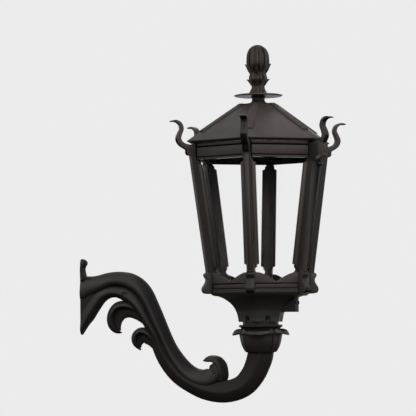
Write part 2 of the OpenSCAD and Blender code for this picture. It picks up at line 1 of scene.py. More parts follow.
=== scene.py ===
# %% [markdown]
# # A hexagonal street lantern on a cast scroll bracket
# The lantern is cast and folded metal under dark powder paint. An S-shaped bracket holds it off the
# wall, and leaves curl off that bracket.
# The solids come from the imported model. They stay where they are: this lesson gives them their
# finish, and models the carved pieces again with the detail that a casting has.

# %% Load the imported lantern
import json
import math

import bpy
from mathutils import Matrix, Vector

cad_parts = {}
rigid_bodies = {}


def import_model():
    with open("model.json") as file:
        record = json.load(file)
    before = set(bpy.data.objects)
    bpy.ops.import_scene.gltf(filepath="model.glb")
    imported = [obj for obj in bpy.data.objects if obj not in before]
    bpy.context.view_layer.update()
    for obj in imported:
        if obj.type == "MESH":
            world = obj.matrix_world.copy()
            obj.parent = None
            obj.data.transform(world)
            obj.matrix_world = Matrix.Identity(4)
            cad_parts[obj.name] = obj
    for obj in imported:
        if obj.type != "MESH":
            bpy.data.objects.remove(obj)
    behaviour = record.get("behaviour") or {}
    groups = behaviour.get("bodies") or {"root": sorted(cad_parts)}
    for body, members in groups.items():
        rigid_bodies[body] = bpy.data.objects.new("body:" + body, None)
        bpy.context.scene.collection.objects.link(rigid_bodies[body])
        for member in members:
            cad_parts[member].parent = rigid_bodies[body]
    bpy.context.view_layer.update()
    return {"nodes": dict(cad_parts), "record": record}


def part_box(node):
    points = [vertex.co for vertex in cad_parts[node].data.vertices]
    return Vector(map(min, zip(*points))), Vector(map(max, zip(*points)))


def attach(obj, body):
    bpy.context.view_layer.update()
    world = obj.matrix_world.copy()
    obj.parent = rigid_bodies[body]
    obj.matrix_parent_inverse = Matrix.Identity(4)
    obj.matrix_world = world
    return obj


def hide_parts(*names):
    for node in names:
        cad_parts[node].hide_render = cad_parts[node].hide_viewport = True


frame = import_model()
nodes = frame["nodes"]
AXIS_X = sum(p.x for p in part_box("tenon")) / 2
AXIS = Vector((AXIS_X, 0.0, 0.0))
print("nodes:", len(nodes), "lantern axis at x =", round(AXIS_X, 4))

# %% [markdown]
# ## The camera
# A long lens from six metres away flattens the hexagon, as from across a street. The camera stands
# a little below the lantern's floor and looks up by about three degrees, so the roof's underside
# hides and the gallery shows its front. It is turned by eleven degrees about the lantern's axis, so
# one corner post stands just left of the middle.

# %% Set the camera
LENS_MM = 223.0
STAND = Vector((-0.1236, -6.181, -0.1027))
SIDE_TURN = Matrix.Rotation(math.radians(10.92), 4, "Z")
LOOK_UP = Matrix.Rotation(math.radians(92.88), 4, "X")
ROLL = Matrix.Rotation(math.radians(-0.56), 4, "Z")
camera_data = bpy.data.cameras.new("long_lens")
camera_data.sensor_width = 36.0
camera_data.lens = LENS_MM
camera_data.clip_end = 60.0
camera = bpy.data.objects.new("camera", camera_data)
bpy.context.scene.collection.objects.link(camera)
bpy.context.scene.camera = camera
camera.matrix_world = (Matrix.Translation(SIDE_TURN @ STAND + AXIS)
                       @ (SIDE_TURN @ LOOK_UP @ ROLL))
bpy.context.scene.view_settings.view_transform = "Standard"
print("camera stands at", [round(v, 3) for v in camera.location])

# %% [markdown]
# ## Light, backdrop and floor
# Dark paint needs large soft lamps: it shows their reflections more than its own colour. One panel
# stands in front, one on each side, one hangs above, and a weak one behind draws the edges. The
# world gives the same pale tone to the camera, to gloss and to glass, and a low plain level to
# everything else.
# The bracket hangs on a wall, so the floor lies well below and throws little light up at it. The
# floor is therefore dark for bounced light, and pale, with a little glow of its own, only where the
# camera looks at it. It keeps the shadow.


# %% Write the shader helpers
def set_inputs(node, inputs):
    """Sets inputs of a node that nothing is linked to, by label."""
    for label, value in inputs.items():
        node.inputs[label].default_value = value


def tree_node(tree, kind, inputs=None, **values):
    """Adds a node to a tree and sets its plain properties, then its inputs."""
    made = tree.nodes.new(kind)
    for key, value in values.items():
        setattr(made, key, value)
    set_inputs(made, inputs or {})
    return made


def wire(tree, *links):
    """Makes links, each given as a node, its output, the next node and its input."""
    for source, output, target, socket in links:
        tree.links.new(source.outputs[output], target.inputs[socket])


def blank(name, inputs):
    """A new material with these inputs on its shader; returns it, its tree and the shader."""
    made = bpy.data.materials.new(name)
    made.use_nodes = True
    shader = made.node_tree.nodes["Principled BSDF"]
    set_inputs(shader, inputs)
    return made, made.node_tree, shader


def any_ray(tree, *kinds):
    """A socket that is 1 for rays of any of these kinds and 0 for the others."""
    path = tree_node(tree, "ShaderNodeLightPath")
    found = path.outputs[f"Is {kinds[0]} Ray"]
    for kind in kinds[1:]:
        most = tree_node(tree, "ShaderNodeMath", operation="MAXIMUM")
        tree.links.new(found, most.inputs[0])
        tree.links.new(path.outputs[f"Is {kind} Ray"], most.inputs[1])
        found = most.outputs[0]
    return found


def grey(tone):
    """A grey of this tone, from 0 to 1."""
    return (tone, tone, tone, 1.0)


print("a middle grey is", grey(0.5))

# %% Build the world
PALE = grey(0.838)
DAYLIGHT = (0.95, 0.97, 1.0, 1.0)
world = bpy.data.worlds.new("studio")
bpy.context.scene.world = world
world.use_nodes = True
sky = world.node_tree
sky.nodes.clear()
plain_light = tree_node(sky, "ShaderNodeBackground", {"Color": DAYLIGHT, "Strength": 0.12})
pale_back = tree_node(sky, "ShaderNodeBackground", {"Color": PALE})
mix = tree_node(sky, "ShaderNodeMixShader")
sky_out = tree_node(sky, "ShaderNodeOutputWorld")
sky.links.new(any_ray(sky, "Camera", "Glossy", "Transmission"), mix.inputs["Fac"])
wire(sky, (plain_light, 0, mix, 1), (pale_back, 0, mix, 2), (mix, 0, sky_out, "Surface"))
print("world nodes:", len(sky.nodes))

# %% Hang the soft lamps
WHITE = (1.0, 1.0, 1.0)
WARM = (1.0, 0.985, 0.96)
TARGET = Vector((AXIS_X - 0.1, 0.0, 0.15))
# each lamp's place from the lantern's axis, size in metres, power in watts and colour
LAMPS = {"front": ((0.50, -2.58, 1.10), 1.2, 27.0, WARM),
         "left": ((-1.72, -1.45, 1.45), 1.2, 18.0, WHITE),
         "right": ((1.95, -1.13, 1.45), 1.2, 26.0, WARM),
         "top": ((0.55, -1.20, 2.40), 1.3, 16.0, WHITE),
         "back": ((0.0, 1.67, 2.14), 1.2, 12.0, WHITE)}
for name, ((x, y, z), size, power, tint) in LAMPS.items():
    lamp = bpy.data.lights.new(name, "AREA")
    lamp.size = size
    lamp.energy = power
    lamp.color = tint
    holder = bpy.data.objects.new(name, lamp)
    bpy.context.scene.collection.objects.link(holder)
    place = Vector((AXIS_X + x, y, z))
    holder.location = place
    holder.rotation_euler = (TARGET - place).to_track_quat("-Z", "Y").to_euler()
print("lamps:", len(LAMPS))

# %% Lay the floor
FLOOR_Z = -0.95
bpy.ops.object.select_all(action="DESELECT")
bpy.ops.mesh.primitive_circle_add(vertices=96, radius=4.5, fill_type="NGON",
                                  location=(AXIS_X - 0.2, 0.0, FLOOR_Z))
floor = bpy.context.object
floor.name = "floor"
bpy.ops.object.transform_apply(location=True, rotation=True, scale=True)
floor_paint, floor_tree, floor_shader = blank(
    "pale_floor", {"Roughness": 0.95, "Specular IOR Level": 0.1, "Emission Strength": 1.0})
floor_seen = any_ray(floor_tree, "Camera", "Transmission")
for label, unseen, seen in (("Base Color", 0.16, 0.50), ("Emission Color", 0.0, 0.45)):
    tone = tree_node(floor_tree, "ShaderNodeMix", {"A": grey(unseen), "B": grey(seen)},
                     data_type="RGBA")
    floor_tree.links.new(floor_seen, tone.inputs["Factor"])
    wire(floor_tree, (tone, "Result", floor_shader, label))
floor.data.materials.append(floor_paint)
print("floor lies at z =", FLOOR_Z)

# %% [markdown]
# ## The paint
# Powder coat is a plastic skin baked over the casting. Close to, it has what a flat colour lacks: a
# fine orange peel from the powder, a slow unevenness from the sand mould under it, and dust on what
# faces up. A third group paints shade on the faces that look towards the lantern and down. Each is
# a node group, built once, so that every material can use it with its own values.


# %% Group the casting's surface
def new_group(name, inputs, outputs):
    """A shader group with float sockets; returns the group and its two end nodes."""
    group = bpy.data.node_groups.new(name, "ShaderNodeTree")
    for label, value in inputs.items():
        made = group.interface.new_socket(label, in_out="INPUT", socket_type="NodeSocketFloat")
        made.default_value = value
    for label in outputs:
        group.interface.new_socket(label, in_out="OUTPUT", socket_type="NodeSocketFloat")
    return group, group.nodes.new("NodeGroupInput"), group.nodes.new("NodeGroupOutput")


# orange peel and mould unevenness: puts out a height and a tone from 0 to 1
CAST, start, end = new_group(
    "cast_surface", {"Peel Scale": 420.0, "Mould Scale": 38.0, "Mould Share": 0.5},
    ["Height", "Tone"])
place = tree_node(CAST, "ShaderNodeTexCoord")
peel = tree_node(CAST, "ShaderNodeTexNoise", {"Detail": 2.0})
mould = tree_node(CAST, "ShaderNodeTexNoise", {"Detail": 4.0, "Roughness": 0.6})
blend = tree_node(CAST, "ShaderNodeMix", data_type="FLOAT")
wire(CAST,
     (place, "Object", peel, "Vector"), (start, "Peel Scale", peel, "Scale"),
     (place, "Object", mould, "Vector"), (start, "Mould Scale", mould, "Scale"),
     (start, "Mould Share", blend, "Factor"), (peel, "Fac", blend, "A"),
     (mould, "Fac", blend, "B"), (blend, "Result", end, "Height"), (mould, "Fac", end, "Tone"))
print(CAST.name, "has", len(CAST.nodes), "nodes")

# %% Group the dust
# dust lies on what faces up, in uneven patches: puts out a mask
DUST, start, end = new_group("settled_dust", {"Amount": 0.5, "Patch Scale": 24.0}, ["Mask"])
place = tree_node(DUST, "ShaderNodeTexCoord")
parts = tree_node(DUST, "ShaderNodeSeparateXYZ")
facing = tree_node(DUST, "ShaderNodeMapRange", {"From Min": 0.25, "From Max": 1.0})
patches = tree_node(DUST, "ShaderNodeTexNoise", {"Detail": 5.0})
ramp = tree_node(DUST, "ShaderNodeMapRange", {"From Min": 0.35, "From Max": 0.75})
times = tree_node(DUST, "ShaderNodeMath", operation="MULTIPLY")
amount = tree_node(DUST, "ShaderNodeMath", operation="MULTIPLY")
wire(DUST,
     (place, "Normal", parts, 0), (parts, "Z", facing, "Value"),
     (place, "Object", patches, "Vector"), (start, "Patch Scale", patches, "Scale"),
     (patches, "Fac", ramp, "Value"), (facing, "Result", times, 0), (ramp, "Result", times, 1),
     (times, 0, amount, 0), (start, "Amount", amount, 1), (amount, 0, end, "Mask"))
print(DUST.name, "has", len(DUST.nodes), "nodes")

# %% Group the painted shade
# painted shade: faces turned to the lantern and faces underneath are darkened and dulled, standing
# in for the shade that falls there; puts out a mask
FACING_SHADE, start, end = new_group("painted_facing_shade", {"Side": 0.8, "Under": 0.5}, ["Mask"])
place = tree_node(FACING_SHADE, "ShaderNodeTexCoord")
parts = tree_node(FACING_SHADE, "ShaderNodeSeparateXYZ")
most = tree_node(FACING_SHADE, "ShaderNodeMath", operation="MAXIMUM")
wire(FACING_SHADE, (place, "Normal", parts, 0), (most, 0, end, "Mask"))
FACING_SHADE_SIDES = (("Side", "X", 0.10, 0.50), ("Under", "Z", -0.10, -0.60))
for i, (label, axis, low, high) in enumerate(FACING_SHADE_SIDES):
    ramp = tree_node(FACING_SHADE, "ShaderNodeMapRange", {"From Min": low, "From Max": high},
                     interpolation_type="SMOOTHSTEP")
    share = tree_node(FACING_SHADE, "ShaderNodeMath", operation="MULTIPLY")
    wire(FACING_SHADE, (parts, axis, ramp, "Value"), (ramp, "Result", share, 0), (start, label, share, 1),
         (share, 0, most, i))
print(FACING_SHADE.name, "has", len(FACING_SHADE.nodes), "nodes")

# %% [markdown]
# ### One paint, many coats
# The lamp is sprayed once, yet out of doors its parts grow apart. The bracket's castings stay dark.
# The lantern's sheet and bars are paler. The glazing beads and the collar are paler still, which is
# painted light, and a cream tone on the latch housing is a painted reflection. The disc under the
# finial is glossier, and its paler tone is a painted reflection. Seams, hollows and the underside
# of the scroll take a dark, dull coat, which is painted shade. One material would hide all of that.
# One function mixes a coat from the groups, and each finish is that function with its own tones,
# roughness and shine.

# %% Write the coat's recipe
DUST_TONE = (0.23, 0.21, 0.185, 1.0)
# the tone and roughness of the painted shade that the side and under masks lay on
PAINTED_SHADE_TONE = (0.0028, 0.0024, 0.0025, 1.0)
SHADE_ROUGHNESS = 0.88
RELIEF_M = 0.0006
COATS = []


def coated(name, dark, light, rough, dust=0.5, peel=420.0, bump=0.12, metal=0.0, mould=38.0,
           shine=0.5, side=0.0, under=0.0):
    """A coat whose tone drifts between two colours, with peel, mould unevenness, dust, and painted
    shade where the side and under masks fall.
    """
    paint, tree, shader = blank(name, {"Metallic": metal, "Specular IOR Level": shine})
    surface = tree_node(tree, "ShaderNodeGroup", node_tree=CAST, inputs={
        "Peel Scale": peel, "Mould Scale": mould, "Mould Share": 0.35})
    settled = tree_node(tree, "ShaderNodeGroup", node_tree=DUST, inputs={
        "Amount": dust, "Patch Scale": 24.0})
    shade_mask = tree_node(tree, "ShaderNodeGroup", node_tree=FACING_SHADE, inputs={"Side": side, "Under": under})
    tone = tree_node(tree, "ShaderNodeMix", data_type="RGBA", inputs={
        "A": (*dark, 1.0), "B": (*light, 1.0)})
    dusty = tree_node(tree, "ShaderNodeMix", data_type="RGBA", inputs={"B": DUST_TONE})
    shade_mix = tree_node(tree, "ShaderNodeMix", data_type="RGBA", inputs={"B": PAINTED_SHADE_TONE})
    gloss = tree_node(tree, "ShaderNodeMapRange", {"To Min": rough - 0.07, "To Max": rough + 0.09})
    dull = tree_node(tree, "ShaderNodeMix", data_type="FLOAT", inputs={"B": SHADE_ROUGHNESS})
    relief = tree_node(tree, "ShaderNodeBump", {"Strength": bump, "Distance": RELIEF_M})
    wire(tree,
         (surface, "Tone", tone, "Factor"), (tone, "Result", dusty, "A"),
         (settled, "Mask", dusty, "Factor"), (dusty, "Result", shade_mix, "A"),
         (shade_mask, "Mask", shade_mix, "Factor"), (shade_mix, "Result", shader, "Base Color"),
         (surface, "Tone", gloss, "Value"), (gloss, "Result", dull, "A"),
         (shade_mask, "Mask", dull, "Factor"), (dull, "Result", shader, "Roughness"),
         (surface, "Height", relief, "Height"), (relief, "Normal", shader, "Normal"))
    COATS.append(name)
    return paint


# dark tones that several coats of the castings share
DARK_TONES = ((0.0098, 0.0074, 0.0080), (0.0165, 0.0128, 0.0110))
PAINT = coated("dark_powder_coat", *DARK_TONES, 0.46, dust=0.10, shine=0.22)
print("first coat:", COATS)

# %% Mix the castings' coats
# the scroll's coat: side and under paint shade on the faces turned to the lantern and underneath
SCROLL_PAINT = coated("scroll_coat", *DARK_TONES, 0.46, dust=0.10, shine=0.22, side=0.80,
                      under=0.55)
MATT_PAINT = coated("matt_coat", *DARK_TONES, 0.72, dust=0.1, shine=0.15)
# a dull coat for the parts that lie in shade; its side mask is painted shade
SHADE_PAINT = coated("painted_shade_coat", (0.0120, 0.0096, 0.0100), (0.0195, 0.0154, 0.0136), 0.60,
                     dust=0.04, shine=0.12, side=0.20)
LEAF_PAINT = coated("leaf_coat", (0.0115, 0.0088, 0.0088), (0.0205, 0.0160, 0.0138), 0.46,
                    dust=0.06, mould=30.0, shine=0.25)
BUD_PAINT = coated("bud_coat", (0.0120, 0.0088, 0.0078), (0.0200, 0.0150, 0.0122), 0.42,
                   dust=0.05, mould=30.0, shine=0.20)
# the finial disc's coat: glossier, so it reflects the pale backdrop, and a little paler, which is
# painted reflection
GLOSS_PAINT = coated("glossy_disc_coat", (0.0150, 0.0120, 0.0105), (0.0240, 0.0192, 0.0165), 0.36,
                     dust=0.1, bump=0.05)
# a cream tone for the latch housing: a painted reflection of the pale backdrop
REFLECTION_PAINT = coated("painted_reflection_coat", (0.060, 0.052, 0.040), (0.105, 0.092, 0.070), 0.42, dust=0.0,
                    peel=300.0, mould=60.0, shine=0.4)
# near black for seams, ledges and hollows: painted shade
SHADE_BLACK = coated("painted_shade_black", (0.004, 0.0036, 0.0034), (0.008, 0.007, 0.0066), 0.9, dust=0.0,
                    bump=0.1, shine=0.05)
print("coats so far:", len(COATS))

# %% Mix the coats of sheet and bar
ROLLED = {"peel": 520.0, "mould": 22.0}
SHEET_PAINT = coated("sheet_powder_coat", (0.0215, 0.0162, 0.0160), (0.0385, 0.0302, 0.0255), 0.50,
                     dust=0.12, shine=0.22, **ROLLED)
# a paler coat for the glazing beads' outer faces: painted light
LIT_BEAD_PAINT = coated("painted_light_bead_coat", (0.036, 0.0290, 0.024), (0.056, 0.046, 0.038), 0.48,
                    dust=0.1, shine=0.25, **ROLLED)
# a paler coat for the collar's faces that don't look down: painted light
LIT_COLLAR_PAINT = coated("painted_light_collar_coat", (0.030, 0.0283, 0.0245), (0.047, 0.0455, 0.0395), 0.50,
                      dust=0.1, shine=0.22, **ROLLED)
print("coats so far:", len(COATS))

# %% Mix the fittings' finishes
BLACK = (0.003, 0.003, 0.003)
BLACK_ENAMEL = coated("black_enamel", BLACK, (0.005, 0.005, 0.005), 0.25, dust=0.0, bump=0.02,
                      shine=0.15)
OILED_BLACK = coated("oiled_black_steel", BLACK, (0.006, 0.006, 0.006), 0.6, dust=0.0, bump=0.02,
                     shine=0.15)
BLACKENED = coated("blackened_steel", (0.030, 0.030, 0.031), (0.06, 0.06, 0.061), 0.38, dust=0.1,
                   metal=0.6, peel=900.0, bump=0.05)
ZINC = coated("galvanised_pipe", (0.36, 0.37, 0.38), (0.50, 0.51, 0.52), 0.42, dust=0.15,
              metal=1.0, peel=160.0, bump=0.06)
ALUMINIUM = coated("die_cast_aluminium", (0.50, 0.51, 0.52), (0.70, 0.71, 0.72), 0.38, dust=0.05,
                   metal=1.0, peel=700.0, bump=0.06)
TERMINAL = coated("terminal_plastic", (0.66, 0.65, 0.60), (0.78, 0.77, 0.72), 0.45, dust=0.0,
                  bump=0.03)
RUBBER = coated("gasket_rubber", (0.012, 0.012, 0.012), (0.03, 0.03, 0.03), 0.75, dust=0.0,
                bump=0.1)
ENAMEL = coated("white_enamel", (0.70, 0.70, 0.68), (0.82, 0.82, 0.80), 0.32, dust=0.0, bump=0.03)
BOARD = coated("board_mask", (0.76, 0.76, 0.72), (0.86, 0.86, 0.82), 0.4, dust=0.0, bump=0.02)
OPAL = coated("opal_diffuser", (0.86, 0.86, 0.83), (0.93, 0.93, 0.90), 0.3, dust=0.0, bump=0.01)
print("coats:", COATS)

# %% [markdown]
# ### The glass
# The panes are thin, flat and clean. Real glass mirrors its surroundings at a flat angle, and in a
# pale studio that lays a white veil over the beads behind it. A low index of refraction keeps the
# panes as clear as they look from the street. A faint smear in the roughness is all that shows.

# %% Make the clear glass
SMEAR = 0.006
GLASS, glass_tree, glass_shader = blank("clear_glass", {
    "Base Color": (0.996, 0.998, 0.998, 1.0), "Metallic": 0.0, "Transmission Weight": 1.0,
    "IOR": 1.02})
place = tree_node(glass_tree, "ShaderNodeTexCoord")
smears = tree_node(glass_tree, "ShaderNodeTexNoise", {"Scale": 14.0})
smear_range = tree_node(glass_tree, "ShaderNodeMapRange", {"To Min": 0.0, "To Max": SMEAR})
wire(glass_tree,
     (place, "Object", smears, "Vector"), (smears, "Fac", smear_range, "Value"),
     (smear_range, "Result", glass_shader, "Roughness"))
print("glass roughness runs to", SMEAR)

# %% [markdown]
# ### Every solid gets its finish
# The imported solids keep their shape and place, so a table from the solid's name to its coat is
# enough. What isn't in the table is a casting of the bracket, in the dark coat.

# %% Give every solid its finish
SHEET_NODES = ("neck_bell", "bottom_plate", "bottom_rail", "gallery", "corner_feet",
               "corner_posts", "rim_frieze", "horns", "latch_housing", "roof_shell", "hip_caps",
               "catch_lug", "finial_stem", "finial_bulb", "finial_leaves")
FINISH = dict.fromkeys(SHEET_NODES, SHEET_PAINT)
FINISH.update({
    "tenon": ZINC, "set_screws": OILED_BLACK, "cover_screws": OILED_BLACK,
    # the wiring box's dull coat stands for the shade under the bottom plate: painted shade
    "wiring_box": SHADE_PAINT, "box_cover": MATT_PAINT, "terminal_block": TERMINAL,
    "glass_strips": LIT_BEAD_PAINT, "glass_panes": GLASS, "rim_gasket": RUBBER,
    "hinge_bracket": BLACKENED, "hinge_pin": BLACKENED, "hinge_leaf": BLACKENED,
    "latch_screw": BLACK_ENAMEL, "finial_disc": GLOSS_PAINT, "gear_tray": ENAMEL,
    "heat_sink": ALUMINIUM, "led_board": BOARD, "led_lens": OPAL, "led_driver": ALUMINIUM})
for name, solid in nodes.items():
    solid.data.materials.clear()
    solid.data.materials.append(FINISH.get(name, PAINT))
print("solids painted:", len(nodes), "of which in the table:", len(FINISH))

# %% [markdown]
# ## Softened edges
# Sand casting and powder both round an edge, and that thin round is what catches the light. The
# machined solids have perfectly sharp edges, so each casting gets a copy: its loose triangles are
# merged, flat faces are joined again, and a Bevel modifier rounds what is sharper than thirty
# degrees.

# %% Write the helpers for one piece
BODY_OF = {name: body for body, members in frame["record"]["behaviour"]["bodies"].items()
           for name in members}


def alone(piece):
    """Makes one piece the only selected and active object."""
    bpy.ops.object.select_all(action="DESELECT")
    piece.select_set(True)
    bpy.context.view_layer.objects.active = piece


def paint_faces(piece, coats, choose):
    """Gives a piece its coats, and each face the coat whose place in the list choose returns."""
    piece.data.materials.clear()
    for finish in coats:
        piece.data.materials.append(finish)
    for face in piece.data.polygons:
        face.material_index = choose(face)


def coat(piece, finish):
    """Gives every face of a piece the same coat."""
    paint_faces(piece, [finish], lambda face: 0)


def settle(piece, *solids):
    """Lets a finished piece stand for these solids, which it hides, and ride with the first one's
    body.
    """
    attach(piece, BODY_OF[solids[0]])
    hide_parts(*solids)


print("solids with a body:", len(BODY_OF))


# %% Write the editing helpers
def edit_all(piece):
    """Opens one piece in edit mode with all of it selected."""
    alone(piece)
    bpy.ops.object.mode_set(mode="EDIT")
    bpy.ops.mesh.select_all(action="SELECT")


def close_mesh():
    """Turns every face outwards and leaves edit mode."""
    bpy.ops.mesh.select_all(action="SELECT")
    bpy.ops.mesh.normals_make_consistent(inside=False)
    bpy.ops.object.mode_set(mode="OBJECT")


def apply_step(piece, kind, name, **values):
    """Adds a modifier to a piece, sets its values and applies it."""
    alone(piece)
    step = piece.modifiers.new(name, kind)
    for key, value in values.items():
        setattr(step, key, value)
    bpy.ops.object.modifier_apply(modifier=step.name)


def fix_place(piece):
    """Moves a piece's own place and turn into its mesh."""
    alone(piece)
    bpy.ops.object.transform_apply(location=True, rotation=True, scale=True)


def smooth_over(piece, degrees):
    """Shades as one surface what meets at less than this angle."""
    alone(piece)
    bpy.ops.object.shade_smooth_by_angle(angle=math.radians(degrees))


def cut(piece, spot, direction, **options):
    """Cuts a piece along the plane through a spot; both halves stay unless options clear one."""
    edit_all(piece)
    bpy.ops.mesh.bisect(plane_co=spot, plane_no=direction, **options)
    bpy.ops.object.mode_set(mode="OBJECT")


print("editing helpers are ready in", bpy.context.mode, "mode")


# %% Soften the castings
SHARP_EDGE = math.radians(30)
# the bevel's width in metres
ROUNDING = {"neck_bell": 0.0007, "wiring_box": 0.0008, "box_cover": 0.0006,
            "bottom_plate": 0.0008, "gallery": 0.0006, "corner_feet": 0.0008,
            "corner_posts": 0.0009, "glass_strips": 0.0011, "horns": 0.0013,
            "latch_housing": 0.0012, "roof_shell": 0.0007, "hip_caps": 0.0007, "catch_lug": 0.0005,
            "hinge_bracket": 0.0004, "hinge_leaf": 0.0003}


def soften(node, width):
    """A copy of a solid with its edges rounded by a bevel of this width in metres."""
    piece = bpy.data.objects.new(node + "_cast", nodes[node].data.copy())
    bpy.context.scene.collection.objects.link(piece)
    edit_all(piece)
    bpy.ops.mesh.customdata_custom_splitnormals_clear()
    bpy.ops.mesh.remove_doubles(threshold=0.00001)
    bpy.ops.mesh.dissolve_limited(angle_limit=math.radians(0.5))
    bpy.ops.object.mode_set(mode="OBJECT")
    apply_step(piece, "BEVEL", "rounding", width=width, segments=2, limit_method="ANGLE",
               angle_limit=SHARP_EDGE)
    smooth_over(piece, 38)
    coat(piece, FINISH[node])
    settle(piece, node)
    return piece


cast = {name: soften(name, width) for name, width in ROUNDING.items()}
for name, piece in cast.items():
    print(name, "has", len(piece.data.polygons), "faces")

# %% [markdown]
# ### Grooves, rolled edges, wear and dirt
# A few copies get more. Two insets cut a fine groove into the posts and the latch housing. The
# glazing beads and the hip caps are rolled metal that stands proud, so their faces move outwards.
# Flanks that look away from the daylight take a darker coat than the faces beside them, as painted
# shade. On the feet and the horns the outward faces are darker and the flanks paler, painted light
# and shade, and painted shade blackens the ledges of the feet and the roots of the horns under the
# eave. The latch housing gets a painted reflection on its slope and low front and a painted shadow
# on its way in. No new surface is needed for any of these tones: each face picks its coat by where
# it is and where it looks.


# %% Groove the posts and shade their flanks
FLANK = 0.6


def groove_flats(piece, smallest, margin, width, depth):
    """Cuts a fine groove round each large upright flat, margin in from the flat's edges."""
    edit_all(piece)
    bpy.ops.mesh.select_mode(type="FACE")
    bpy.ops.mesh.select_all(action="DESELECT")
    bpy.ops.object.mode_set(mode="OBJECT")
    for face in piece.data.polygons:
        upright = abs(face.normal.z) < 0.35
        face.select = upright and face.area > smallest and len(face.vertices) < 6
    bpy.ops.object.mode_set(mode="EDIT")
    bpy.ops.mesh.inset(thickness=margin, depth=0.0, use_individual=True)
    bpy.ops.mesh.inset(thickness=width, depth=-depth, use_individual=True)
    bpy.ops.mesh.inset(thickness=width, depth=depth, use_individual=True)
    bpy.ops.mesh.select_mode(type="VERT")
    bpy.ops.object.mode_set(mode="OBJECT")


def outward(face):
    """How far a face looks away from the lantern's axis, from 1 to -1."""
    out = Vector((face.center.x - AXIS_X, face.center.y, 0.0)).normalized()
    return face.normal.dot(out)


def shade_flanks(piece, lit, shaded):
    """Gives faces that look away from the lantern's axis one coat, and flanks and backs another, as
    painted light and shade.
    """
    paint_faces(piece, [lit, shaded], lambda face: int(outward(face) < FLANK))


posts = cast["corner_posts"]
groove_flats(posts, smallest=0.0015, margin=0.0022, width=0.0010, depth=0.0014)
# the posts' flanks take the darker coat: painted shade
shade_flanks(posts, SHEET_PAINT, PAINT)
print("grooved posts have", len(posts.data.polygons), "faces")


# %% Paint shade black on the horns' roots and the feet's ledges
HORN_ROOT_Z = 0.371


def blacken(piece, in_shade):
    """Painted light and shade: dark where a piece looks outwards, paler on its flanks, and black
    underneath and where in_shade says.
    """
    def tone(face):
        if face.normal.z < -0.6 or in_shade(face):
            return 2
        return int(outward(face) < FLANK)

    paint_faces(piece, [PAINT, SHEET_PAINT, SHADE_BLACK], tone)


# the feet's top ledges and the horns' outward roots under the eave are painted shade
blacken(cast["corner_feet"], lambda face: face.normal.z > 0.8)
blacken(cast["horns"], lambda face: face.center.z < HORN_ROOT_Z and outward(face) >= FLANK)
print("black faces:", {name: sum(face.material_index == 2 for face in cast[name].data.polygons)
                       for name in ("corner_feet", "horns")})

# %% Move out the beads and the hip caps
shown = cast["hip_caps"].dimensions.x
for name, reach in (("glass_strips", 0.0008), ("hip_caps", 0.0016)):
    edit_all(cast[name])
    bpy.ops.transform.shrink_fatten(value=reach)
    bpy.ops.object.mode_set(mode="OBJECT")
# the beads' flanks and the hip caps' steep flanks take the darker coat: painted shade
shade_flanks(cast["glass_strips"], LIT_BEAD_PAINT, PAINT)
paint_faces(cast["hip_caps"], [SHEET_PAINT, PAINT], lambda face: int(abs(face.normal.z) < 0.45))
print("hip caps grew by", round(cast["hip_caps"].dimensions.x - shown, 5))

# %% Paint the neck's collar
COLLAR_TOP = -0.036
# faces below the collar's top that don't look down take the paler coat: painted light
paint_faces(cast["neck_bell"], [SHEET_PAINT, LIT_COLLAR_PAINT],
            lambda face: int(face.center.z < COLLAR_TOP and face.normal.z > -0.5))
print("the collar ends at z =", COLLAR_TOP)

# %% Groove the latch housing and paint its reflection and shadow
LATCH_OUT = Vector((math.cos(math.radians(-30)), math.sin(math.radians(-30)), 0.0))
REFLECTION_REACH = 0.184
SHADOW_REACH = 0.190
REFLECTION_TOP = 0.3226
housing = cast["latch_housing"]
groove_flats(housing, smallest=0.0005, margin=0.0035, width=0.0009, depth=0.0012)
for reach in (REFLECTION_REACH, SHADOW_REACH):
    cut(housing, AXIS + reach * LATCH_OUT, LATCH_OUT)
cut(housing, (0.0, 0.0, REFLECTION_TOP), (0.0, 0.0, 1.0))


def latch_tone(face):
    """Painted reflection on the slope and low on the front, painted shadow on the way in, and plain
    at the tip.
    """
    reach = (face.center - AXIS).dot(LATCH_OUT)
    if -0.97 < face.normal.z < -0.2 or (reach > REFLECTION_REACH and face.center.z < REFLECTION_TOP):
        return 1
    return 2 * int(reach < SHADOW_REACH)


paint_faces(housing, [SHEET_PAINT, REFLECTION_PAINT, SHADE_PAINT], latch_tone)
print("latch housing has", len(housing.data.polygons), "faces")

# %% [markdown]
# ## The bracket's scrollwork
# The bracket is one casting, but the pattern maker carved it as plants grow. An upper scroll leaves
# the wall, goes over the arch and ends in a curl at the lower bend. A band starts at the foot's
# tip, runs below that scroll and tapers away on the slope. From under the band an under scroll goes
# round the bend to the capital, and two leaves hang off it. Each is a limb: a section that is
# carried along a curve while its depth and width change.
# A Bezier curve with a bevel would do for a plain pipe. Here the sections have a lip, a keel, a
# ridge or a crest, so each limb is grown straight, ring by ring, with Extrude and Resize, and then
# the Curve modifier bends it. What overlaps makes the deep creases that a carved pattern has.


# %% Trace an outline, point by point
MM = 0.001


def pull(x=0.0, y=0.0, z=0.0):
    """Extrudes what is selected by this much in metres."""
    bpy.ops.mesh.extrude_region_move(TRANSFORM_OT_translate={"value": (x, y, z)})


def trace(name, points, filled=True):
    """A new outline, traced by extruding one corner from point to point; filled, it is a face."""
    bpy.ops.object.select_all(action="DESELECT")
    bpy.ops.mesh.primitive_plane_add(size=0.001, location=(0, 0, 0))
    piece = bpy.context.object
    piece.name = name
    bpy.ops.object.mode_set(mode="EDIT")
    bpy.ops.mesh.select_all(action="SELECT")
    bpy.ops.mesh.merge(type="CENTER")
    bpy.ops.transform.translate(value=points[0])
    for start, end in zip(points, points[1:]):
        pull(*(b - a for a, b in zip(start, end)))
    bpy.ops.mesh.select_all(action="SELECT")
    if filled:
        bpy.ops.mesh.edge_face_add()
    return piece


print("one millimetre is", MM, "m")


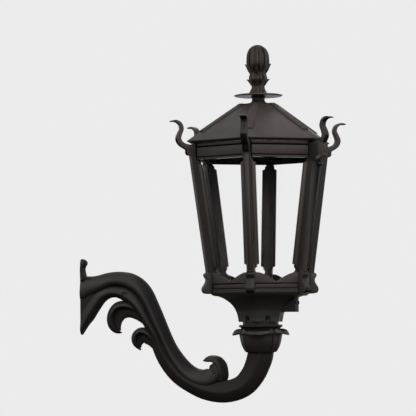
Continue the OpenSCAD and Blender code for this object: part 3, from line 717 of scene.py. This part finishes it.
# %% Draw the sections
def whole_loop(half):
    """Mirrors the half outline of a section, from its top to its bottom, into a closed loop."""
    return half + [(depth, -width) for depth, width in reversed(half)]


# share of the depth, from 1 on the limb's left to -1, and share of the width
LIPPED = whole_loop([(1.0, 0.26), (0.93, 0.46), (0.70, 0.64), (0.36, 0.80), (0.0, 0.92),
                     (-0.32, 1.0), (-0.56, 1.0), (-0.80, 0.94), (-0.95, 0.82), (-1.0, 0.64),
                     (-0.96, 0.3)])
KEELED = whole_loop([(1.0, 0.20), (0.98, 0.44), (0.86, 0.60), (0.52, 0.78), (0.10, 0.93),
                     (-0.20, 0.985), (-0.32, 1.0), (-0.44, 0.98), (-0.72, 0.80), (-0.92, 0.56),
                     (-1.0, 0.38), (-1.0, 0.16)])
RIDGED = whole_loop([(1.0, 0.20), (0.98, 0.44), (0.86, 0.58), (0.50, 0.76), (0.06, 0.97),
                     (-0.05, 1.0), (-0.16, 0.975), (-0.55, 0.74), (-0.88, 0.52), (-0.98, 0.40),
                     (-1.0, 0.16)])
CRESTED = whole_loop([(1.0, 0.30), (0.97, 0.62), (0.85, 0.86), (0.66, 0.97), (0.45, 1.0),
                      (0.15, 0.96), (-0.25, 0.85), (-0.60, 0.68), (-0.85, 0.48), (-1.0, 0.20)])
ROUNDED = whole_loop([(1.0, 0.18), (0.93, 0.50), (0.72, 0.78), (0.38, 0.95), (0.0, 1.0),
                      (-0.38, 0.95), (-0.72, 0.78), (-0.93, 0.50), (-1.0, 0.18)])
print("corners in the sections:", [len(s) for s in (LIPPED, KEELED, RIDGED, CRESTED, ROUNDED)])


# %% Run a smooth line through a few rows
def through(rows, steps):
    """Catmull-Rom rows between the given rows: the line passes through each of them."""
    last = len(rows) - 1
    made = []
    for i in range(steps + 1):
        t = last * i / steps
        k = min(int(t), last - 1)
        u = t - k
        a, b, c, d = (rows[max(k - 1, 0)], rows[k], rows[k + 1], rows[min(k + 2, last)])
        made.append(tuple(
            0.5 * (2 * q + (r - p) * u + (2 * p - 5 * q + 4 * r - s) * u * u
                   + (3 * q - 3 * r + s - p) * u ** 3) for p, q, r, s in zip(a, b, c, d)))
    return made


print("between 0 and 10:", through([(0.0,), (10.0,)], 4))


# %% Grow a limb and bend it
def bend_along(piece, line):
    """Bends a limb that lies along X so that it follows the line's x and z."""
    guide_data = bpy.data.curves.new(piece.name + "_guide", "CURVE")
    guide_data.dimensions = "2D"
    spline = guide_data.splines.new("POLY")
    spline.points.add(len(line) - 1)
    for point, row in zip(spline.points, line):
        point.co = (row[0], row[1], 0.0, 1.0)
    guide = bpy.data.objects.new(piece.name + "_guide", guide_data)
    bpy.context.scene.collection.objects.link(guide)
    apply_step(piece, "CURVE", "bend", object=guide, deform_axis="POS_X")
    bpy.data.objects.remove(guide)
    piece.rotation_euler = (math.radians(90), 0.0, 0.0)
    fix_place(piece)


def grow_limb(name, section, rows, rings):
    """A limb through rows of x, z, depth and width in millimetres, in the plane of the bracket."""
    line = through([tuple(v * MM for v in row) for row in rows], rings)
    along = [0.0]
    for a, b in zip(line, line[1:]):
        along.append(along[-1] + math.hypot(b[0] - a[0], b[1] - a[1]))
    piece = trace(name, [(0.0, s * line[0][2] / 2, w * line[0][3] / 2) for s, w in section])
    for i in range(1, len(line)):
        pull(x=along[i] - along[i - 1])
        bpy.ops.transform.resize(
            value=(1.0, line[i][2] / line[i - 1][2], line[i][3] / line[i - 1][3]),
            center_override=(along[i], 0.0, 0.0))
    close_mesh()
    bend_along(piece, line)
    return piece


print("limb helpers are ready")


# %% Join, saw and dimple
WALL_GAP = 0.0002


def join(pieces, name):
    """Joins pieces into the first one and names it."""
    alone(pieces[0])
    for piece in pieces:
        piece.select_set(True)
    bpy.ops.object.join()
    pieces[0].name = name
    return pieces[0]


def assemble(pieces, name, degrees, *solids):
    """Joins finished parts, smooths them and settles the whole."""
    piece = join(pieces, name)
    smooth_over(piece, degrees)
    settle(piece, *solids)
    print(name, "has", len(piece.data.polygons), "faces")


def saw_flat(piece):
    """Cuts off what would reach into the wall and closes the cut."""
    cut(piece, (WALL_GAP, 0, 0), (1, 0, 0), use_fill=True, clear_inner=True)


def press_dimples(piece, x, z, y, radius):
    """Presses a round dimple into both flanks of a limb with the Boolean modifier."""
    for flank in (-1, 1):
        bpy.ops.object.select_all(action="DESELECT")
        bpy.ops.mesh.primitive_uv_sphere_add(segments=20, ring_count=12, radius=radius,
                                             location=(x, flank * y, z))
        ball = bpy.context.object
        apply_step(piece, "BOOLEAN", "dimple", operation="DIFFERENCE", object=ball)
        bpy.data.objects.remove(ball)


print("the saw stops", WALL_GAP, "m off the wall")

# %% Grow the upper scroll
UPPER_ROWS = [[-12, 17, 54, 50], [4, 21, 52, 51], [17, 25.5, 47, 52], [31, 28, 42, 53],
              [48, 33, 37, 55], [70, 40.5, 33, 56], [94, 42.5, 33, 57], [118, 38, 36, 57],
              [141, 25.5, 36, 57], [159, 6, 34, 57], [173, -19, 30, 56], [188, -53, 29, 56],
              [204, -89, 26, 55], [218, -120, 26, 54], [232, -146, 30, 54], [250, -171, 34, 54],
              [270, -190, 38, 53], [292, -199, 41, 52], [312, -198, 42, 50], [325, -188, 40, 47],
              [327, -175, 32, 44], [322, -166, 18, 36]]
upper = grow_limb("upper_scroll", LIPPED, UPPER_ROWS, 63)
saw_flat(upper)
coat(upper, SCROLL_PAINT)
press_dimples(upper, x=0.328, z=-0.189, y=0.0275, radius=0.0065)
print("upper scroll:", len(upper.data.polygons), "faces")

# %% Grow the band and the under scroll
BAND_ROWS = [[-8, -89, 18, 48], [4, -66, 24, 48], [12, -48, 35, 49], [28, -23, 35, 50],
             [45.5, -0.5, 34, 51], [66, 11, 32, 51], [88, 12, 31, 52], [108, 7, 36, 52],
             [126, -4, 38, 52], [143, -21, 34, 52.5], [157, -43, 29, 53], [171, -66, 23, 53.5],
             [186, -92, 18, 54], [199, -118, 13, 54.5], [212, -143, 8, 54], [222, -161, 3, 52]]
UNDER_ROWS = [[146, -28, 22, 42], [157, -43, 32, 48], [170, -66, 33, 50], [184, -92, 34, 51],
              [196, -122, 42, 53], [213, -155, 46, 54], [238, -188, 46, 55], [271, -212, 46, 56],
              [311, -228.6, 50, 57], [355, -232.4, 52.8, 58], [395, -219.7, 54, 59],
              [419.5, -193, 56, 60], [432, -167, 58, 61], [438, -148, 60, 62],
              [440, -131, 60, 62]]
band = grow_limb("arch_band", KEELED, BAND_ROWS, 50)
saw_flat(band)
press_dimples(band, x=0.112, z=0.005, y=0.0300, radius=0.0085)
under = grow_limb("under_scroll", RIDGED, UNDER_ROWS, 52)
coat(band, SCROLL_PAINT)
coat(under, SHADE_PAINT)
print("arch band:", len(band.data.polygons), "faces, under scroll:", len(under.data.polygons))

# %% [markdown]
# ### The hanging leaves and the curl
# Each hanging leaf is a rim that curls round a hollow. The rim is a limb of its own, with a crest
# on its outer side. A narrower web in the dull shade coat closes the leaf, so that the hollow lies
# in shade on both sides of the casting; the web's coat is painted shade. The curl at the lower bend
# is made in the same way, as a rim round the end of the upper scroll.

# %% Grow the leaves
RIM_1 = [[142, -36, 12, 34], [126, -24, 17, 42], [106, -20, 18, 46], [88, -24, 18, 47],
         [76, -37, 17, 47], [71, -55, 16.5, 46], [74, -71, 16, 43], [82, -82, 13, 36],
         [90, -87, 8, 26], [98, -89, 2.5, 14]]
WEB_1 = [[164, -70, 14, 20], [144, -48, 26, 18], [120, -37, 31, 15], [99, -42, 30, 14],
         [89, -58, 25, 13], [89, -73, 17, 12], [94, -84, 6, 9]]
RIM_2 = [[190, -122, 10, 34], [178, -102, 14, 42], [162, -87, 16, 44], [146, -84, 15, 44],
         [134, -92, 14.5, 43], [130, -104, 14, 41], [132.5, -116, 11.5, 36], [139, -125, 7, 24],
         [145, -131, 2.5, 13]]
WEB_2 = [[192, -138, 12, 20], [176, -112, 26, 17], [159, -101, 30, 15], [147, -104, 26, 14],
         [142, -116, 16, 12], [144, -126, 5, 9]]
CURL = [[343, -207, 24, 38], [347, -195, 26, 44], [346.5, -184, 26, 47], [344, -171, 25.5, 47],
        [336.5, -160, 23, 46], [327, -154.5, 18.5, 44], [317.5, -153.5, 16, 40],
        [308, -155.5, 12, 33], [299.5, -158, 3, 16]]
LEAVES = {"leaf_rim_1": (CRESTED, RIM_1, 26, SCROLL_PAINT),
          "leaf_web_1": (ROUNDED, WEB_1, 18, SHADE_PAINT),
          "leaf_rim_2": (CRESTED, RIM_2, 26, SCROLL_PAINT),
          "leaf_web_2": (ROUNDED, WEB_2, 16, SHADE_PAINT),
          "curl_rim": (CRESTED, CURL, 28, SCROLL_PAINT)}
leaves = []
for name, (section, rows, rings, paint) in LEAVES.items():
    leaves.append(grow_limb(name, section, rows, rings))
    coat(leaves[-1], paint)
assemble([upper, band, under] + leaves, "scrollwork", 34,
         "bracket_arm", "arch_leaf", "hanging_leaf", "volute")

# %% [markdown]
# ### The wall foot
# The foot is the plate that bolts to the wall, and a small leaf curls off it at the top. It lies
# below the arch, in its shade, so it takes the dull shade coat, which is painted shade. Its outline
# has hollows and corners that no primitive has, so it is traced once and extruded across. The leaf
# is one more limb.

# %% Make the foot
FOOT_LINE = [(0, 62), (4, 54), (10, 48), (24, 43), (38, 40), (38, -24), (30, -36), (22, -48),
             (14, -61), (7, -70), (0, -80)]
TOP_LEAF = [[6, 40, 16, 50], [4, 50, 12, 49], [2.6, 60, 10, 47], [2.3, 69, 9.6, 45],
            [3.6, 76, 14, 43], [4.5, 81.5, 18, 40], [3.2, 86.5, 12, 36], [1.5, 90, 4, 28]]
HALF_FOOT = 0.01806
foot = trace("foot_plate", [(x * MM, HALF_FOOT, z * MM) for x, z in FOOT_LINE])
pull(y=-2 * HALF_FOOT)
close_mesh()
top_leaf = grow_limb("top_leaf", ROUNDED, TOP_LEAF, 26)
saw_flat(top_leaf)
coat(foot, SHADE_PAINT)
coat(top_leaf, SCROLL_PAINT)
assemble([foot, top_leaf], "foot_cast", 34, "wall_foot")

# %% [markdown]
# ## The capital's leaves
# Four broad leaves stand round the cup and touch at their edges. Each rises along the cup and its
# lip rolls outwards, further in the middle than at the sides. A leaf starts as an arc of points.
# The arc is extruded up along the cup's line, row by row, and scaled about the lantern's axis. The
# lip's middle is then pulled out with proportional editing, which drags the neighbours along, and
# Solidify and Subdivision Surface give the sheet its thickness and its smooth swell. The lip takes
# a darker coat than the leaf, and its inner slope, which lies in the rim's shade, is black: both
# are painted shade.


# %% Raise a sheet and pick its corners
def grow_up(rows, centre=(0.0, 0.0)):
    """Extrudes what is selected up through rows of radius and height in millimetres."""
    for (r0, z0), (r1, z1) in zip(rows, rows[1:]):
        pull(z=(z1 - z0) * MM)
        bpy.ops.transform.resize(value=(r1 / r0, r1 / r0, 1), center_override=(*centre, z1 * MM))


def pick(piece, test):
    """In edit mode, selects just the corners that pass a test on their place."""
    bpy.ops.mesh.select_mode(type="VERT")
    bpy.ops.mesh.select_all(action="DESELECT")
    bpy.ops.object.mode_set(mode="OBJECT")
    for corner in piece.data.vertices:
        corner.select = bool(test(corner.co))
    bpy.ops.object.mode_set(mode="EDIT")


LEAF_ROWS = [(35, -139), (40, -131.5), (45, -122), (47.5, -112), (48, -104), (48.6, -96),
             (49.8, -88.5), (52.4, -84), (56.0, -83.2), (59.4, -86), (62.0, -91), (63.0, -95.5)]
HALF_LEAF = 44
ARC = [math.radians(HALF_LEAF * (i - 6) / 6) for i in range(13)]
first_r, first_z = (v * MM for v in LEAF_ROWS[0])
leaf = trace("capital_leaf", [(first_r * math.cos(a), first_r * math.sin(a), first_z) for a in ARC],
             filled=False)
grow_up(LEAF_ROWS)
print("rows in a leaf:", len(LEAF_ROWS))

# %% Roll the leaf's lip and press its veins
LIP_Z = -0.096
LIP_ROOT_Z = -0.0885
VEIN_ANGLE = 29.3
# the lip: its middle is pulled out and down, and its two ends are tucked in
pick(leaf, lambda p: p.x > 0.0610 and abs(p.y) < 0.009)
bpy.ops.transform.translate(value=(0.0052, 0, -0.0032), use_proportional_edit=True,
                            proportional_edit_falloff="SMOOTH", proportional_size=0.024)
pick(leaf, lambda p: p.z > LIP_Z and abs(p.y) > 0.034)
bpy.ops.transform.resize(value=(0.91, 0.91, 1), center_override=(0, 0, 0))
# the veins: a deep middle furrow and a shallow one on each side
pick(leaf, lambda p: abs(p.y) < 0.002 and -0.136 < p.z < LIP_Z)
bpy.ops.transform.translate(value=(-0.0022, 0, 0))
for vein in (-VEIN_ANGLE, VEIN_ANGLE):
    pick(leaf, lambda p: abs(math.degrees(math.atan2(p.y, p.x)) - vein) < 2 and p.z < LIP_Z)
    bpy.ops.transform.resize(value=(0.965, 0.965, 1), center_override=(0, 0, 0))
close_mesh()
apply_step(leaf, "SOLIDIFY", "wall", thickness=0.0032, offset=0.0)
apply_step(leaf, "SUBSURF", "smooth", levels=2, render_levels=2)
print("one leaf:", len(leaf.data.polygons), "faces")


# %% Set copies round the axis
def round_the_axis(piece, count, name):
    """Spreads copies of a piece evenly round the lantern's axis, and joins them."""
    copies = []
    for i in range(count):
        copy = bpy.data.objects.new(name, piece.data.copy())
        bpy.context.scene.collection.objects.link(copy)
        copy.rotation_euler = (0, 0, math.radians(i * 360 / count))
        copy.location = AXIS
        fix_place(copy)
        copies.append(copy)
    bpy.data.objects.remove(piece)
    return join(copies, name)


def leaf_tone(face):
    """The leaf's own coat below its lip; on the lip a darker coat, and black where it looks up,
    both painted shade.
    """
    if face.center.z < LIP_ROOT_Z:
        return 0
    return 2 if face.normal.z > 0.5 else 1


paint_faces(leaf, [LEAF_PAINT, PAINT, SHADE_BLACK], leaf_tone)
leaf_ring = round_the_axis(leaf, 4, "capital_leaf_ring")
alone(leaf_ring)
bpy.ops.object.shade_smooth()
settle(leaf_ring, "capital_leaves")
print("the ring of leaves has", len(leaf_ring.data.polygons), "faces")

# %% [markdown]
# ## The finial
# The bud on the roof is four fluted straps that lie on a round core and meet at the top. A leaf tip
# curls off each strap at the bud's foot and at its waist. Turning the bud on a lathe would lose the
# straps, so each is a limb: its section has a groove in the outer side, and the groove stays in the
# middle all the way up. The core is turned, and a bead sits in the waist on each side.

# %% Grow a strap and its tips
FLAT = max(p.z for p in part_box("roof_shell")) / MM
FLUTED = whole_loop([(1.0, 0.30), (0.80, 0.80), (0.30, 0.98), (-0.45, 1.0), (-0.80, 0.95),
                     (-0.97, 0.85), (-1.0, 0.73), (-0.92, 0.61), (-0.60, 0.48), (-0.10, 0.36),
                     (0.30, 0.14)])
STRAP_ROWS = [[17.6, 24.8, 8, 28], [12.5, 33, 8, 26], [10.2, 41, 8, 25], [11.9, 51, 8, 26],
              [16.5, 58.5, 8, 27], [16.2, 66, 8, 26], [14.4, 74, 8, 25], [16.6, 81, 8.5, 26],
              [19.8, 89, 9, 28], [21.5, 98, 9.5, 29], [21.2, 108, 9.5, 29], [20.6, 117.5, 9.5, 28],
              [19.2, 123.5, 9, 27], [16.3, 129.5, 9, 25], [12.2, 134.4, 8.5, 21],
              [6.3, 137.9, 8, 17], [0, 139.2, 8, 14]]
TIP_ROWS = [[14, 78, 15, 8], [19, 84, 13.5, 9], [24, 90, 9.5, 8], [28.5, 94.5, 5, 6],
            [32, 97, 1.2, 3]]
FOOT_TIP_ROWS = [[12, 48, 12, 8], [16, 52.5, 10.5, 9], [21, 56.5, 7, 8], [25.5, 59, 3.5, 5],
                 [28.2, 60.2, 1, 3]]
STRAP_LIMBS = (("strap", FLUTED, STRAP_ROWS, 48), ("tip", ROUNDED, TIP_ROWS, 12),
               ("foot_tip", ROUNDED, FOOT_TIP_ROWS, 12))
strap_parts = []
for name, section, rows, rings in STRAP_LIMBS:
    lifted = [[x, z + FLAT, depth, width] for x, z, depth, width in rows]
    strap_parts.append(grow_limb(name, section, lifted, rings))
strap = join(strap_parts, "finial_strap")
print("strap:", len(strap.data.polygons), "faces, on the flat at z =", round(FLAT, 1), "mm")

# %% Turn the core
CORE_LINE = [(20, 24.6), (16, 31), (12.5, 40), (14, 50), (18, 58), (17.5, 67), (15.6, 74),
             (18.5, 84), (22.5, 97), (22.5, 110), (20.5, 123), (15.5, 133), (8, 139), (1, 141)]
core_rows = through([(radius, FLAT + height) for radius, height in CORE_LINE], 42)
bpy.ops.object.select_all(action="DESELECT")
bpy.ops.mesh.primitive_circle_add(vertices=48, radius=core_rows[0][0] * MM, fill_type="NGON",
                                  location=(0.0, 0.0, core_rows[0][1] * MM))
core = bpy.context.object
bpy.ops.object.mode_set(mode="EDIT")
grow_up(core_rows)
close_mesh()
fix_place(core)
print("core:", len(core.data.polygons), "faces")

# %% Set the beads and close the bud
bpy.ops.object.select_all(action="DESELECT")
bpy.ops.mesh.primitive_torus_add(major_segments=28, minor_segments=10, major_radius=0.0046,
                                 minor_radius=0.0017, location=(0.0166, 0, FLAT * MM + 0.0740),
                                 rotation=(0, math.radians(90), 0))
bead = bpy.context.object
fix_place(bead)
straps = round_the_axis(strap, 4, "finial_straps")
beads = round_the_axis(bead, 4, "finial_beads")
core.location = AXIS
fix_place(core)
for piece in (core, straps, beads):
    coat(piece, BUD_PAINT)
assemble([core, straps, beads], "finial_bud", 30, "finial_bulb", "finial_leaves")

# %% [markdown]
# ## The frieze and the bottom rail
# Both are hexagonal rings, folded from sheet and bar. Each side of the frieze shows a bead, a plain
# panel and a lip under the eave, and each side of the rail a bead and a panel. What the eye sees
# first is the dark seams between them. Painted lines would look flat, and a groove cut into a
# painted ring still catches light along its edges. So each ring is a core in near black, painted
# shade for the seams, extruded once round its own profile and closed on itself, and the beads,
# panels and lips are bevelled slabs that stand in front of it.


# %% Grow a ring round its profile
HEX_FLAT = math.sqrt(3) / 2


def grow_ring(name, rows):
    """A hexagonal ring about the lantern's axis: a loop that is extruded through rows of corner
    radius and height in millimetres, and merged where the profile meets itself."""
    bpy.ops.object.select_all(action="DESELECT")
    bpy.ops.mesh.primitive_circle_add(vertices=6, radius=rows[0][0] * MM, fill_type="NOTHING",
                                      location=(AXIS_X, 0, rows[0][1] * MM))
    piece = bpy.context.object
    piece.name = name
    bpy.ops.object.mode_set(mode="EDIT")
    grow_up(rows + rows[:1], (AXIS_X, 0))
    bpy.ops.mesh.select_all(action="SELECT")
    bpy.ops.mesh.remove_doubles(threshold=0.00002)
    close_mesh()
    fix_place(piece)
    return piece


def plates(name, low, high, face_at, thick, length, edge):
    """Six bevelled slabs, one on each side, with their outer faces face_at from the axis."""
    bpy.ops.object.select_all(action="DESELECT")
    bpy.ops.mesh.primitive_plane_add(size=1.0, location=(face_at - thick, 0.0, (low + high) / 2),
                                     rotation=(0, math.radians(90), 0))
    slab = bpy.context.object
    bpy.ops.object.mode_set(mode="EDIT")
    bpy.ops.transform.resize(value=(1, length, high - low))
    pull(x=thick)
    bpy.ops.mesh.bevel(offset=edge, segments=2, affect="EDGES")
    close_mesh()
    fix_place(slab)
    return round_the_axis(slab, 6, name)


def dress_ring(name, rows, strips, corner, thick, length, solid):
    """A black ring, painted shade for the seams, with painted slabs before it. Each strip is a
    label, the heights of its two edges, how far it is set back from the face, and its bevel. The
    face lies inside corner."""
    face_at = corner * HEX_FLAT
    pieces = [grow_ring(name + "_ring", rows)]
    coat(pieces[0], SHADE_BLACK)
    for label, low, high, back, edge in strips:
        pieces.append(plates(f"{name}_{label}", low, high, face_at - back, thick, length, edge))
        coat(pieces[-1], SHEET_PAINT)
    assemble(pieces, name + "_cast", 30, solid)


print("flats lie at", round(HEX_FLAT, 3), "of the corners' radius")

# %% Make the frieze and the bottom rail
FRIEZE_ROWS = [(147.6, 320.5), (162.4, 320.5), (162.4, 359.2), (161.2, 359.3), (161.2, 357.7),
               (153.8, 357.7), (153.8, 359.3), (147.6, 359.3)]
FRIEZE_STRIPS = [("bead", 0.3206, 0.3247, 0.0, 0.0009), ("panel", 0.3274, 0.3488, 0.0003, 0.0006),
                 ("lip", 0.3524, 0.3588, 0.0, 0.0012)]
RAIL_ROWS = [(121.6, 7), (125.2, 7), (124.2, 25), (121.6, 25)]
RAIL_STRIPS = [("bead", 0.0070, 0.0114, 0.0, 0.0008), ("panel", 0.0133, 0.0225, 0.0008, 0.0006)]
dress_ring("frieze", FRIEZE_ROWS, FRIEZE_STRIPS, corner=0.1682, thick=0.006, length=0.1412,
           solid="rim_frieze")
dress_ring("rail", RAIL_ROWS, RAIL_STRIPS, corner=0.1298, thick=0.005, length=0.107,
           solid="bottom_rail")
